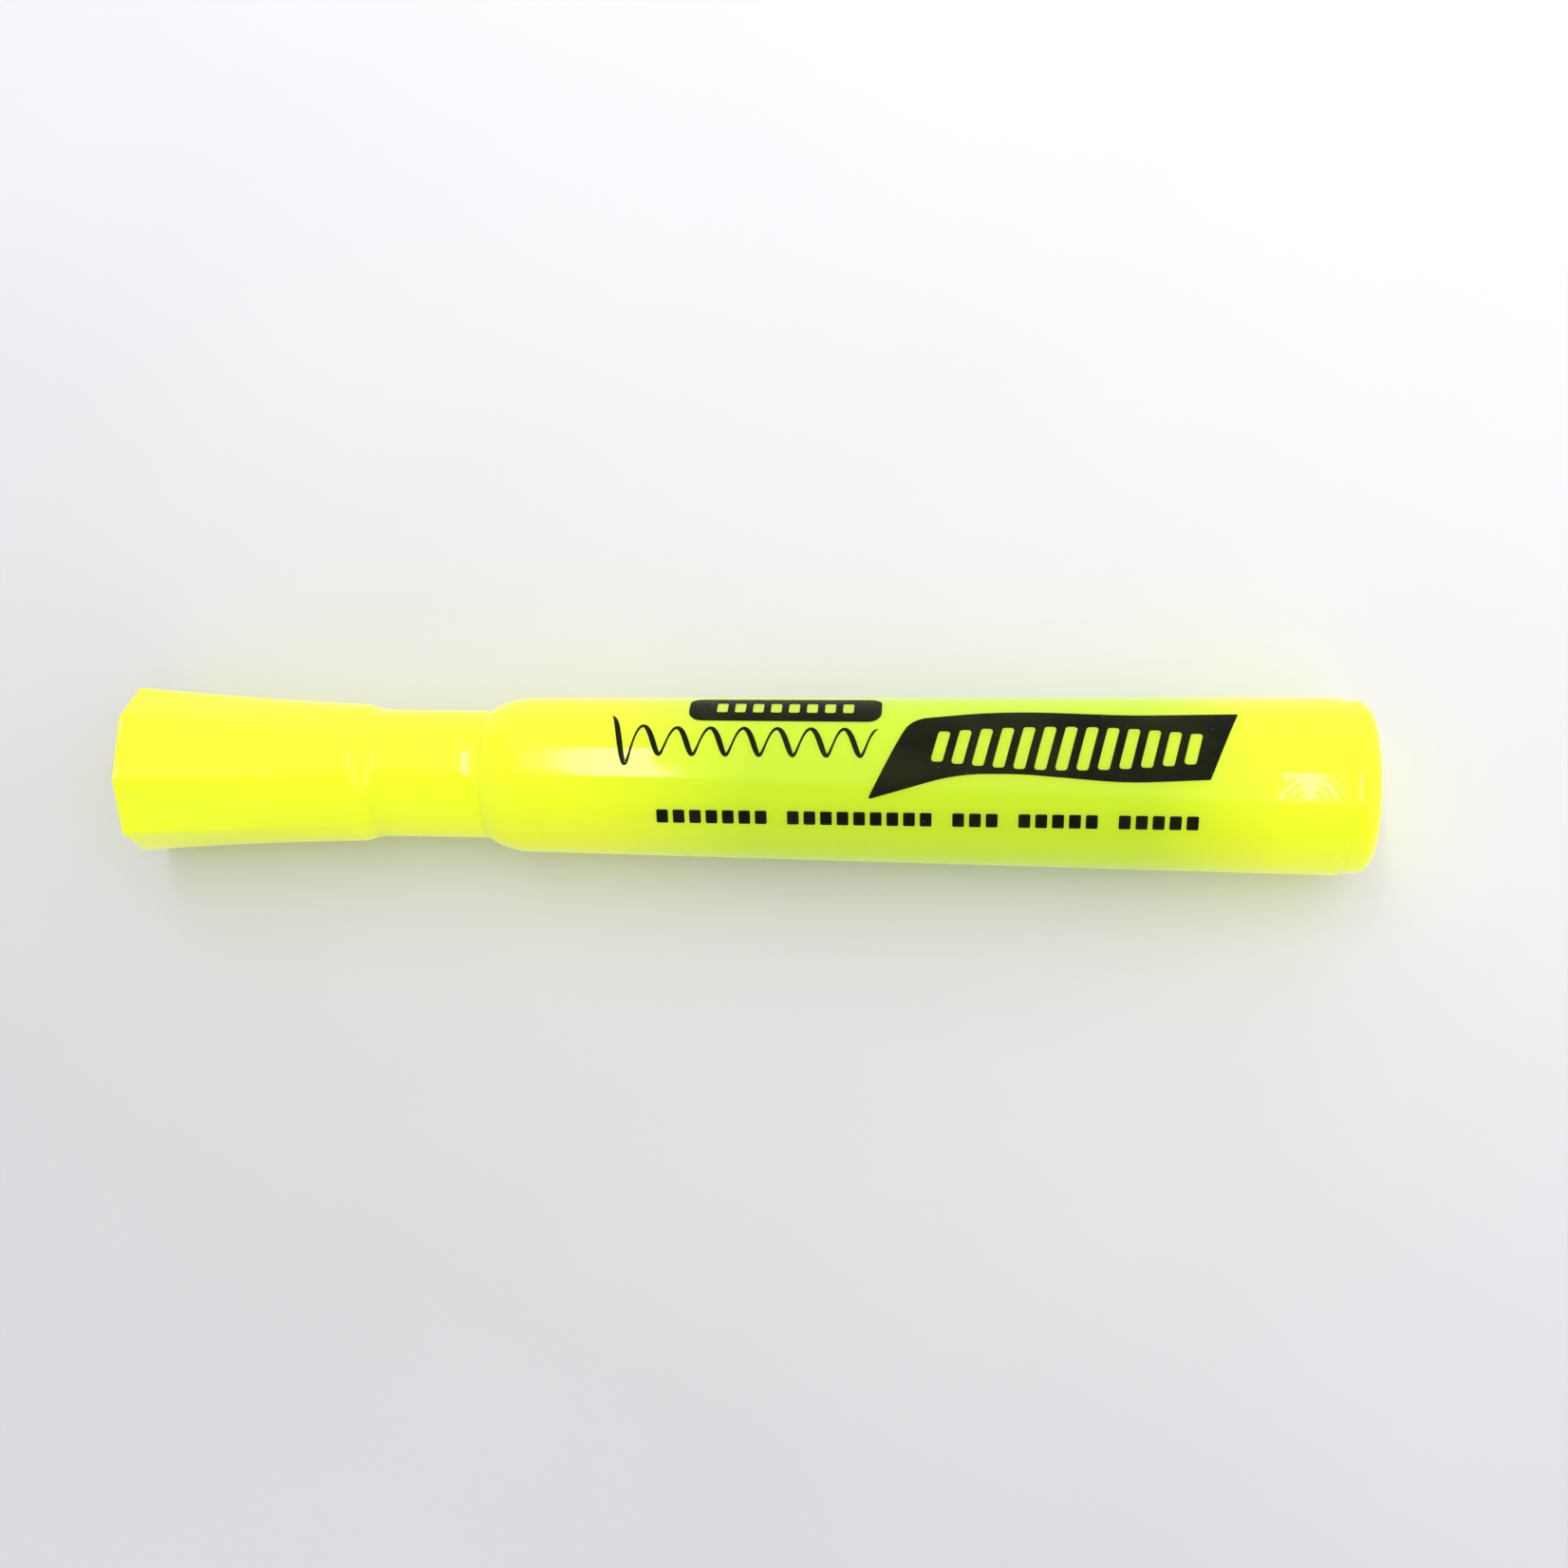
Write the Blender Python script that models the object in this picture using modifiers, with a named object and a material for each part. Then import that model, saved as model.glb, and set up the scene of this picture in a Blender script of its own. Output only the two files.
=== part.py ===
"""A desk-style chisel-tip highlighter, lying on its side with its cap on.

The barrel is a tapered tube with a domed shoulder. It holds an ink reservoir between its ribs, a
nib holder and nib at the front, and a plug at the rear. The cap is a waisted tube, round at its
mouth and flaring to eight flats at its far end. A sealing cup inside it closes over the nib, and a
crown closes its far end.

Each piece is modelled upright, along local +Z, with Z measured from the far end of the cap. All of
them are parented to one empty, which lays the pen down along world +X on the ground plane.
"""

import math

import bmesh
import bpy

# ---- Driving dimensions, in metres. Stations are measured along the pen from the cap's far end.
OVERALL_LENGTH = 0.1218
CAP_LENGTH = 0.0354
FLARE_LENGTH = 0.0230  # the eight-sided stretch of the cap
BLEND_LENGTH = 0.0022  # where the eight corners die into the round neck
BLEND_DROP = 0.0007
CAP_END_CORNER_RADIUS = 0.00832
CAP_WAIST_CORNER_RADIUS = 0.00685
NECK_RADIUS = 0.00633
BARREL_FRONT_RADIUS = 0.0077
BARREL_REAR_RADIUS = 0.0087
PLUG_HEAD_LENGTH = 0.0027
PLUG_RADIUS = 0.00848
SPIGOT_LENGTH = 0.0099  # what the cap pushes over
WALL = 0.0011
GAP = 0.0003  # kept between pieces that rest on each other
FLANGE_THICKNESS = 0.0008

ROUND_STEPS = 32
FLAT_COUNT = 8
SMALL_STEPS = 12
RIB_COUNT = 6
VENT_COUNT = 4

# ---- Stations
PLUG_HEAD_FRONT = OVERALL_LENGTH - PLUG_HEAD_LENGTH
BARREL_REAR = PLUG_HEAD_FRONT - GAP
SHOULDER_BASE = CAP_LENGTH + GAP
SPIGOT_FRONT = SHOULDER_BASE - SPIGOT_LENGTH
LEDGE = 0.0390  # the barrel's inner shoulder, which the reservoir stops against
BEAD = 0.0305  # middle of the snap bead on the barrel's spigot
PLUG_BEAD = BARREL_REAR - 0.0022
PLUG_FLOOR = OVERALL_LENGTH - 0.0014  # inside of the plug's end wall
FLANGE_REAR = SPIGOT_FRONT - GAP
FLANGE_FRONT = FLANGE_REAR - FLANGE_THICKNESS
SEAL_LAND_FRONT = 0.0208
SEAL_LAND_REAR = 0.0235
SNOUT_FRONT = 0.0176
NIB_TIP = 0.0112
NIB_REAR = 0.0435
INNER_CAP_MOUTH = 0.0223
INNER_CAP_CLOSED_END = 0.0058
CAP_LEDGE_LENGTH = 0.0010
CROWN_FACE = 0.0003
CROWN_SEAT = 0.0016
RESERVOIR_FRONT = LEDGE + GAP
RESERVOIR_REAR = 0.1117
PLUG_SPIGOT_FRONT = RESERVOIR_REAR + GAP

# ---- Radii
SHOULDER_RADIUS = 0.0063  # where the dome meets the cap's mouth
SPIGOT_RADIUS = 0.00515
SPIGOT_BORE = 0.0041
BEAD_HEIGHT = 0.0002
BEAD_HALF_LENGTH = 0.0006
CAP_BORE = 0.00545
CAP_LEDGE_BORE = 0.0045
RIB_BORE = 0.00615
FILM_RADIUS = 0.0059
FILM_THICKNESS = 0.0002
FIBRE_RADIUS = 0.00555
BREATHER_RADIUS = 0.00075
BREATHER_BORE = 0.00045
BREATHER_OFFSET = 0.0047
NIB_WIDTH = 0.0050
NIB_THICKNESS = 0.0034
HOLDER_RADIUS = 0.00385
FLANGE_RADIUS = 0.0050
SEAL_LAND_RADIUS = 0.00405
SNOUT_TIP_RADIUS = 0.0034
INNER_CAP_RADIUS = 0.0049
INNER_CAP_WALL = 0.0006
PLUG_SPIGOT_RADIUS = 0.0071
EDGE = 0.00035  # small chamfers on moulded edges

NIB_SLANT = math.radians(38)
NIB_CHEEK = math.radians(16)

FLUORESCENT_YELLOW = (0.93, 1.0, 0.05)
DEEP_YELLOW = (0.78, 0.90, 0.04)
NATURAL_WHITE = (0.86, 0.88, 0.84)


# ---- Helpers
def remove_everything():
    """Empties the scene, so that the script gives the same model on every run."""
    for old in list(bpy.data.objects):
        bpy.data.objects.remove(old)


def link_new(name, mesh):
    """A new object for a mesh, linked to the scene and standing on the pen's axis."""
    made = bpy.data.objects.new(name, mesh)
    bpy.context.scene.collection.objects.link(made)
    return made


def arc(centre_radius, centre_station, radius, start, end, count):
    """Profile points on a round stretch. Angles are in degrees from the radial direction."""
    angles = [math.radians(start + (end - start) * i / count) for i in range(count + 1)]
    return [
        (centre_radius + radius * math.cos(a), centre_station + radius * math.sin(a))
        for a in angles
    ]


def turned(name, profile, steps=ROUND_STEPS, ring=False):
    """A turned piece from (radius, station) points, running down the outer side from the rear.

    A ring's profile is a closed loop. A half step of rotation puts one side face at the bottom.
    """
    mesh = bpy.data.meshes.new(name)
    count = len(profile)
    edges = [(i, i + 1) for i in range(count - 1)] + ([(count - 1, 0)] if ring else [])
    mesh.from_pydata([(radius, 0.0, station) for radius, station in profile], edges, [])
    made = link_new(name, mesh)
    screw = made.modifiers.new("turn", "SCREW")
    screw.steps = screw.render_steps = steps
    screw.use_merge_vertices = True
    screw.merge_threshold = 0.000001
    made.rotation_euler.z = math.pi / steps
    return made


def block(name, low, high):
    """A box between two corners."""
    mesh = bpy.data.meshes.new(name)
    shape = bmesh.new()
    bmesh.ops.create_cube(shape, size=1.0)
    for vert in shape.verts:
        vert.co = [low[k] if vert.co[k] < 0 else high[k] for k in range(3)]
    shape.to_mesh(mesh)
    shape.free()
    return link_new(name, mesh)


def stadium_bar(name, width, thickness, front, rear):
    """A bar along the pen whose section is a flat strip with fully rounded edges."""
    curve = bpy.data.curves.new(name, "CURVE")
    curve.dimensions = "2D"
    curve.fill_mode = "BOTH"
    curve.extrude = (rear - front) / 2
    radius, straight = thickness / 2, (width - thickness) / 2
    half_turn = [math.pi * i / SMALL_STEPS - math.pi / 2 for i in range(SMALL_STEPS + 1)]
    side = [(straight + radius * math.cos(a), radius * math.sin(a)) for a in half_turn]
    outline = side + [(-x, -y) for x, y in side]
    spline = curve.splines.new("POLY")
    spline.points.add(len(outline) - 1)
    for point, (x, y) in zip(spline.points, outline):
        point.co = (x, y, 0.0, 1.0)
    spline.use_cyclic_u = True
    made = link_new(name, curve)
    made.location.z = (front + rear) / 2
    return as_mesh(made)


def as_mesh(curve_object):
    """Replaces a curve object by a closed mesh object in the same place."""
    bpy.context.view_layer.update()
    graph = bpy.context.evaluated_depsgraph_get()
    mesh = bpy.data.meshes.new_from_object(curve_object.evaluated_get(graph))
    shape = bmesh.new()
    shape.from_mesh(mesh)
    bmesh.ops.remove_doubles(shape, verts=shape.verts, dist=0.000001)
    shape.to_mesh(mesh)
    shape.free()
    name, place = curve_object.name, curve_object.matrix_world.copy()
    bpy.data.objects.remove(curve_object)
    made = link_new(name, mesh)
    made.matrix_world = place
    return made


def settle(part):
    """Turns a part's modifiers into its mesh, in the part's own place."""
    bpy.context.view_layer.update()
    graph = bpy.context.evaluated_depsgraph_get()
    mesh = bpy.data.meshes.new_from_object(part.evaluated_get(graph))
    part.modifiers.clear()
    part.data = mesh
    return part


def combine(part, tool, operation):
    """Joins a tool to a part or cuts it away, and removes the tool."""
    boolean = part.modifiers.new(operation.lower(), "BOOLEAN")
    boolean.operation = operation
    boolean.object = tool
    settle(part)
    bpy.data.objects.remove(tool)
    return part


def cut(part, tool):
    return combine(part, tool, "DIFFERENCE")


def join(part, tool):
    return combine(part, tool, "UNION")


def around(count, first=0.0):
    """Evenly spaced angles about the pen's axis."""
    return [first + 2 * math.pi * i / count for i in range(count)]


def bore_radius(station):
    """The barrel's bore, which widens towards the rear at the outside's draft."""
    share = (station - LEDGE) / (BARREL_REAR - LEDGE)
    front, rear = BARREL_FRONT_RADIUS - WALL, BARREL_REAR_RADIUS - WALL
    return front + (rear - front) * share


# ---- The barrel and what it holds
def make_barrel():
    """Tapered tube with a domed shoulder, an open rear, and a spigot that the cap snaps on."""
    dome_angle = math.degrees(math.acos(SHOULDER_RADIUS / BARREL_FRONT_RADIUS))
    dome_top = SHOULDER_BASE + BARREL_FRONT_RADIUS * math.sin(math.radians(dome_angle))
    profile = [
        (BARREL_REAR_RADIUS - EDGE / 2, BARREL_REAR),
        (BARREL_REAR_RADIUS, BARREL_REAR - EDGE / 2),
        *arc(0.0, dome_top, BARREL_FRONT_RADIUS, 0, -dome_angle, 6),
        (SPIGOT_RADIUS, SHOULDER_BASE),
        (SPIGOT_RADIUS, BEAD + BEAD_HALF_LENGTH),
        (SPIGOT_RADIUS + BEAD_HEIGHT, BEAD),
        (SPIGOT_RADIUS, BEAD - BEAD_HALF_LENGTH),
        (SPIGOT_RADIUS, SPIGOT_FRONT + EDGE),
        (SPIGOT_RADIUS - EDGE, SPIGOT_FRONT),
        (SPIGOT_BORE, SPIGOT_FRONT),
        (SPIGOT_BORE, LEDGE),
        (bore_radius(LEDGE), LEDGE),
        (bore_radius(BARREL_REAR), BARREL_REAR),
    ]
    barrel = turned("barrel", profile, ring=True)
    for angle in around(RIB_COUNT):
        join(barrel, make_rib(angle))
    return barrel


def make_rib(angle):
    """One long rib that centres the reservoir in the barrel's widening bore."""
    width, root_depth = 0.0008, 0.0005
    rear = PLUG_SPIGOT_FRONT - WALL
    rib = block("rib", (RIB_BORE, -width / 2, LEDGE - root_depth), (BARREL_REAR_RADIUS, width / 2, rear))
    for vert in rib.data.vertices:
        if vert.co.x > RIB_BORE + root_depth / 2:
            vert.co.x = bore_radius(vert.co.z) + root_depth
    rib.rotation_euler.z = angle
    return rib


def make_end_plug():
    """Rear plug: a round-edged head, and a hollow spigot whose inner cross holds the reservoir."""
    corner, lip, cross_width = 0.0013, 0.0009, 0.0010
    inner_radius = PLUG_SPIGOT_RADIUS - lip
    profile = [
        (0.0, OVERALL_LENGTH),
        *arc(PLUG_RADIUS - corner, OVERALL_LENGTH - corner, corner, 90, 0, 4),
        (PLUG_RADIUS, PLUG_HEAD_FRONT),
        (PLUG_SPIGOT_RADIUS + BEAD_HEIGHT / 2, PLUG_HEAD_FRONT),
        (PLUG_SPIGOT_RADIUS, PLUG_BEAD + BEAD_HALF_LENGTH),
        (PLUG_SPIGOT_RADIUS + BEAD_HEIGHT, PLUG_BEAD),
        (PLUG_SPIGOT_RADIUS, PLUG_BEAD - BEAD_HALF_LENGTH),
        (PLUG_SPIGOT_RADIUS, PLUG_SPIGOT_FRONT + EDGE),
        (PLUG_SPIGOT_RADIUS - EDGE, PLUG_SPIGOT_FRONT),
        (inner_radius, PLUG_SPIGOT_FRONT),
        (inner_radius, PLUG_FLOOR),
        (0.0, PLUG_FLOOR),
    ]
    plug = turned("end_plug", profile)
    reach = inner_radius + lip / 2
    for angle in (0.0, math.pi / 2):
        plate = block(
            "cross",
            (-reach, -cross_width / 2, PLUG_SPIGOT_FRONT + EDGE),
            (reach, cross_width / 2, PLUG_FLOOR + EDGE),
        )
        plate.rotation_euler.z = angle
        join(plug, plate)
    return plug


def make_nib_holder():
    """Front section: pressed into the spigot, with a stop flange, a sealing land and a snout."""
    profile = [
        (0.0, LEDGE - GAP),
        (HOLDER_RADIUS - EDGE, LEDGE - GAP),
        (HOLDER_RADIUS, LEDGE - GAP - EDGE),
        (HOLDER_RADIUS, FLANGE_REAR),
        (FLANGE_RADIUS, FLANGE_REAR),
        (FLANGE_RADIUS, FLANGE_FRONT),
        (SEAL_LAND_RADIUS + EDGE / 2, FLANGE_FRONT),
        (SEAL_LAND_RADIUS, SEAL_LAND_REAR),
        (SEAL_LAND_RADIUS, SEAL_LAND_FRONT),
        (SNOUT_TIP_RADIUS + EDGE, SNOUT_FRONT + EDGE),
        (SNOUT_TIP_RADIUS, SNOUT_FRONT),
        (0.0, SNOUT_FRONT),
    ]
    holder = turned("nib_holder", profile)
    hole_width, hole_height = NIB_WIDTH + GAP, NIB_THICKNESS + GAP
    cut(holder, stadium_bar("nib_hole", hole_width, hole_height, SNOUT_FRONT - WALL, LEDGE + WALL))
    vent_width, vent_depth = 0.0006, 0.00035
    for angle in around(VENT_COUNT, math.pi / VENT_COUNT):
        vent = block(
            "vent",
            (HOLDER_RADIUS - vent_depth, -vent_width / 2, FLANGE_REAR + vent_width),
            (HOLDER_RADIUS + WALL, vent_width / 2, LEDGE),
        )
        vent.rotation_euler.z = angle
        cut(holder, vent)
    return holder


def make_nib():
    """Chisel nib: a flat felt bar that reaches from the reservoir to a slanted writing edge."""
    nib = stadium_bar("chisel_nib", NIB_WIDTH, NIB_THICKNESS, NIB_TIP, NIB_REAR)
    size = 4 * NIB_WIDTH
    shave = block("slant", (-size, -size, -size), (size, size, 0.0))
    shave.location = (-NIB_WIDTH / 2, 0.0, NIB_TIP)
    shave.rotation_euler.y = -NIB_SLANT
    cut(nib, shave)
    for side in (-1, 1):
        near, far = sorted((0.0, side * size))
        shave = block("cheek", (-size, near, -size), (size, far, size))
        shave.location = (0.0, side * NIB_THICKNESS / 4, NIB_TIP)
        shave.rotation_euler.x = -side * NIB_CHEEK
        cut(nib, shave)
    return nib


def make_reservoir_fibre():
    """Bonded fibre rod with a pocket for the nib and a groove for the breather tube."""
    profile = [
        (0.0, RESERVOIR_REAR),
        (FIBRE_RADIUS, RESERVOIR_REAR),
        (FIBRE_RADIUS, RESERVOIR_FRONT),
        (0.0, RESERVOIR_FRONT),
    ]
    fibre = turned("reservoir_fibre", profile)
    pocket = stadium_bar(
        "pocket",
        NIB_WIDTH + 2 * GAP,
        NIB_THICKNESS + 2 * GAP,
        RESERVOIR_FRONT - WALL,
        NIB_REAR + GAP,
    )
    cut(fibre, pocket)
    groove_radius = BREATHER_RADIUS + GAP
    groove = turned(
        "groove",
        [
            (0.0, RESERVOIR_REAR + WALL),
            (groove_radius, RESERVOIR_REAR + WALL),
            (groove_radius, RESERVOIR_FRONT - WALL),
            (0.0, RESERVOIR_FRONT - WALL),
        ],
        steps=SMALL_STEPS,
    )
    groove.location.y = BREATHER_OFFSET
    return cut(fibre, groove)


def make_reservoir_film():
    """Clear wrap round the fibre, open at both ends."""
    bore = FILM_RADIUS - FILM_THICKNESS
    front, rear = RESERVOIR_FRONT + EDGE, RESERVOIR_REAR - EDGE
    loop = [(FILM_RADIUS, rear), (FILM_RADIUS, front), (bore, front), (bore, rear)]
    return turned("reservoir_film", loop, ring=True)


def make_breather_tube():
    """Thin air tube in the fibre's groove, open at both ends."""
    front, rear = RESERVOIR_FRONT + EDGE, RESERVOIR_REAR - EDGE
    loop = [
        (BREATHER_RADIUS, rear),
        (BREATHER_RADIUS, front),
        (BREATHER_BORE, front),
        (BREATHER_BORE, rear),
    ]
    tube = turned("breather_tube", loop, steps=SMALL_STEPS, ring=True)
    tube.location.y = BREATHER_OFFSET
    return tube


# ---- The cap
def cap_cavity_radius(station):
    """The flared cavity keeps a wall inside the flats."""
    share = station / FLARE_LENGTH
    corner = CAP_END_CORNER_RADIUS + (CAP_WAIST_CORNER_RADIUS - CAP_END_CORNER_RADIUS) * share
    return corner * math.cos(math.pi / FLAT_COUNT) - WALL


def make_cap_shell():
    """Waisted tube: eight flats at the far end, round at the mouth, open at both ends."""
    flare = [
        (0.0, FLARE_LENGTH + BLEND_LENGTH),
        (CAP_WAIST_CORNER_RADIUS - BLEND_DROP, FLARE_LENGTH + BLEND_LENGTH),
        (CAP_WAIST_CORNER_RADIUS, FLARE_LENGTH),
        (CAP_END_CORNER_RADIUS, EDGE),
        (CAP_END_CORNER_RADIUS - EDGE, 0.0),
        (0.0, 0.0),
    ]
    shell = turned("cap_shell", flare, steps=FLAT_COUNT)
    neck_root = FLARE_LENGTH - 0.0040
    neck = [
        (0.0, CAP_LENGTH),
        (NECK_RADIUS - EDGE / 2, CAP_LENGTH),
        (NECK_RADIUS, CAP_LENGTH - EDGE / 2),
        (NECK_RADIUS, neck_root),
        (0.0, neck_root),
    ]
    join(shell, turned("neck", neck))
    ledge_front = INNER_CAP_MOUTH + GAP
    ledge_rear = ledge_front + CAP_LEDGE_LENGTH
    overrun = WALL
    cavity = [
        (0.0, CAP_LENGTH + overrun),
        (CAP_BORE + EDGE, CAP_LENGTH + overrun),
        (CAP_BORE + EDGE, CAP_LENGTH),
        (CAP_BORE, CAP_LENGTH - EDGE),
        (CAP_BORE, BEAD + BEAD_HALF_LENGTH),
        (CAP_BORE + BEAD_HEIGHT, BEAD),
        (CAP_BORE, BEAD - BEAD_HALF_LENGTH),
        (CAP_BORE, ledge_rear + EDGE),
        (CAP_LEDGE_BORE, ledge_rear),
        (CAP_LEDGE_BORE, ledge_front),
        (cap_cavity_radius(ledge_front), ledge_front),
        (cap_cavity_radius(CROWN_SEAT), CROWN_SEAT),
        (cap_cavity_radius(CROWN_SEAT), -overrun),
        (0.0, -overrun),
    ]
    return cut(shell, turned("cavity", cavity))


def make_inner_cap():
    """Sealing cup over the nib, with a rounded closed end and a thicker lip at its mouth."""
    corner, lip_length, lip_height = 0.0012, 0.0012, 0.0001
    closed, mouth = INNER_CAP_CLOSED_END, INNER_CAP_MOUTH
    bore = INNER_CAP_RADIUS - INNER_CAP_WALL
    profile = [
        (0.0, closed + INNER_CAP_WALL),
        (bore - corner / 2, closed + INNER_CAP_WALL),
        (bore, closed + INNER_CAP_WALL + corner / 2),
        (bore, mouth),
        (INNER_CAP_RADIUS + lip_height, mouth),
        (INNER_CAP_RADIUS + lip_height, mouth - lip_length),
        (INNER_CAP_RADIUS, mouth - lip_length - EDGE),
        *arc(INNER_CAP_RADIUS - corner, closed + corner, corner, 0, -90, 4),
        (0.0, closed),
    ]
    return turned("inner_cap", profile)


def make_cap_crown():
    """Disc pressed into the cap's far end, with a tubular post that backs the sealing cup."""
    radius = cap_cavity_radius(CROWN_SEAT) - GAP
    post_radius, post_wall = 0.0026, 0.0009
    post_rear = INNER_CAP_CLOSED_END - GAP
    floor = CROWN_SEAT
    profile = [
        (post_radius, post_rear),
        (post_radius, floor),
        (radius, floor),
        (radius, CROWN_FACE + EDGE),
        (radius - EDGE, CROWN_FACE),
        (0.0, CROWN_FACE),
    ]
    bore = post_radius - post_wall
    return turned("cap_crown", [(0.0, floor), (bore, floor), (bore, post_rear), *profile])


# ---- Assembly
def material(name, colour, roughness):
    """A plain moulded-plastic or felt finish."""
    made = bpy.data.materials.new(name)
    made.use_nodes = True
    shader = made.node_tree.nodes["Principled BSDF"]
    shader.inputs["Base Color"].default_value = (*colour, 1.0)
    shader.inputs["Roughness"].default_value = roughness
    shader.inputs["Metallic"].default_value = 0.0
    return made


def lay_down(parts):
    """Parents the pieces to one empty that lays the pen along +X, resting on the ground plane."""
    axis = bpy.data.objects.new("pen_axis", None)
    bpy.context.scene.collection.objects.link(axis)
    axis.rotation_euler.y = math.pi / 2
    height = BARREL_REAR_RADIUS * math.cos(math.pi / ROUND_STEPS)
    axis.location = (-OVERALL_LENGTH / 2, 0.0, height)
    for part in parts:
        part.parent = axis


def main():
    remove_everything()
    finishes = [
        (make_barrel, FLUORESCENT_YELLOW, 0.22),
        (make_end_plug, FLUORESCENT_YELLOW, 0.25),
        (make_nib_holder, NATURAL_WHITE, 0.35),
        (make_nib, DEEP_YELLOW, 0.85),
        (make_reservoir_fibre, DEEP_YELLOW, 0.9),
        (make_reservoir_film, NATURAL_WHITE, 0.2),
        (make_breather_tube, NATURAL_WHITE, 0.4),
        (make_cap_shell, FLUORESCENT_YELLOW, 0.22),
        (make_inner_cap, NATURAL_WHITE, 0.4),
        (make_cap_crown, FLUORESCENT_YELLOW, 0.25),
    ]
    group = bpy.data.collections.new("highlighter")
    bpy.context.scene.collection.children.link(group)
    parts = []
    for make, colour, roughness in finishes:
        part = settle(make())
        part.data.materials.clear()
        part.data.materials.append(material(part.name, colour, roughness))
        part.data.shade_smooth()
        part.data.set_sharp_from_angle(angle=math.radians(25))
        group.objects.link(part)
        bpy.context.scene.collection.objects.unlink(part)
        parts.append(part)
    lay_down(parts)


main()
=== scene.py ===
"""The looks of a desk-style highlighter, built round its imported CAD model.

Sizes are in metres, in the row frame: +X runs from the cap to the rear plug and +Z is up. Stations
are distances along the pen from the cap's far end, and angles about the pen's axis are measured
from straight up, towards +Y.
"""

import math

import bmesh
import bpy
from mathutils import Matrix, Vector


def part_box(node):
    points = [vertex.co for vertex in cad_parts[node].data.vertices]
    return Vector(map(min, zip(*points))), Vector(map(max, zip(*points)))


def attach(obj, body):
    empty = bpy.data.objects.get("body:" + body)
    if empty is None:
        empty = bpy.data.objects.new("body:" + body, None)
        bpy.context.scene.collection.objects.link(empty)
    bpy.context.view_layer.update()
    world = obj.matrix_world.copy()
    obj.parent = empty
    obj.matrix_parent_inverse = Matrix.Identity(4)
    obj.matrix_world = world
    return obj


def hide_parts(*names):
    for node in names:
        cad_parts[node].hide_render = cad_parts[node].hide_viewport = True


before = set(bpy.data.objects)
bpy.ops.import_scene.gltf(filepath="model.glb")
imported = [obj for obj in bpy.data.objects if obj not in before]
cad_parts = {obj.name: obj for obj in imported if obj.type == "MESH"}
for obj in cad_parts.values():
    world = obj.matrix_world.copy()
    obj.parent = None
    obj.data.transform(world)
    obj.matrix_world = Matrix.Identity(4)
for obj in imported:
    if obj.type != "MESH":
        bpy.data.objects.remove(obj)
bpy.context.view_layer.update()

MM = 0.001

# ---- Where the CAD's pieces are
cap_low, cap_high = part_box("cap_shell")
barrel_low, barrel_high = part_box("barrel")
plug_low, plug_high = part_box("end_plug")
holder_low, holder_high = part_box("nib_holder")
nib_low, nib_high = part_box("chisel_nib")
cup_low, cup_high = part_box("inner_cap")
crown_low, crown_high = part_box("cap_crown")
AXIS_Z = (barrel_low.z + barrel_high.z) / 2
ORIGIN_X = cap_low.x


def half_width(box):
    """The radius of a turned piece, from its CAD box."""
    return (box[1].y - box[0].y) / 2


# ---- Stations along the pen
GAP = 0.3 * MM  # between CAD pieces that touch on the real pen
SEAM = 0.02 * MM  # what shows of it
SHOULDER_BASE = cap_high.x + GAP - ORIGIN_X
CAP_MOUTH = SHOULDER_BASE - SEAM
SPIGOT_FRONT = barrel_low.x - ORIGIN_X
BARREL_REAR = barrel_high.x - ORIGIN_X
PEN_END = plug_high.x - ORIGIN_X
WAIST = 22.9 * MM
NECK_FRONT = 25.3 * MM

# ---- Radii
REAR_RADIUS = half_width((barrel_low, barrel_high))
FRONT_RADIUS = REAR_RADIUS - 1.0 * MM
PLUG_RADIUS = half_width((plug_low, plug_high))
SHOULDER_RADIUS = 6.3 * MM
NECK_RADIUS = 6.33 * MM
WAIST_RADIUS = 6.85 * MM
CAP_APOTHEM = 7.70 * MM  # from the axis to a flat, at the far end
FLARE_STRAIGHTNESS = 0.6  # 1 for straight flats, 0 for ones that start out level at the waist
CAP_TURN = math.radians(4.0)  # how far the cap sits turned on the barrel, towards +Y on top
SPIGOT_RADIUS = 5.15 * MM
WALL = 1.1 * MM

FLAT_COUNT = 8

# ---- How finely the meshes are made
AROUND = 192  # steps round the big turned pieces
CORNER_STEPS = 6
SAME_POINT = 1e-7
SHARP_ANGLE = math.radians(35)


# ---- Mesh helpers
def at(station, radius, angle):
    """A point in the row frame."""
    return Vector(
        (ORIGIN_X + station, radius * math.sin(angle), AXIS_Z + radius * math.cos(angle))
    )


def smooth_step(low, high, value):
    share = min(1.0, max(0.0, (value - low) / (high - low)))
    return share * share * (3 - 2 * share)


def mix(a, b, share):
    return a + (b - a) * share


def filleted(points, closed=False):
    """A polyline with its corners rounded. Each point is (x, y, corner radius)."""
    made = []
    count = len(points)
    for i, (x, y, size) in enumerate(points):
        is_end = not closed and i in (0, count - 1)
        if size <= 0 or is_end:
            made.append((x, y))
            continue
        here = Vector((x, y))
        to_last = (Vector(points[i - 1][:2]) - here).normalized()
        to_next = (Vector(points[(i + 1) % count][:2]) - here).normalized()
        turn = to_last.angle(to_next)
        reach = size / math.tan(turn / 2)
        centre = here + (to_last + to_next).normalized() * (size / math.sin(turn / 2))
        first, last = here + to_last * reach - centre, here + to_next * reach - centre
        sweep = first.angle_signed(last)
        for step in range(CORNER_STEPS + 1):
            spoke = first.copy()
            spoke.rotate(Matrix.Rotation(-sweep * step / CORNER_STEPS, 2))
            made.append(tuple(centre + spoke))
    return made


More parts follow.
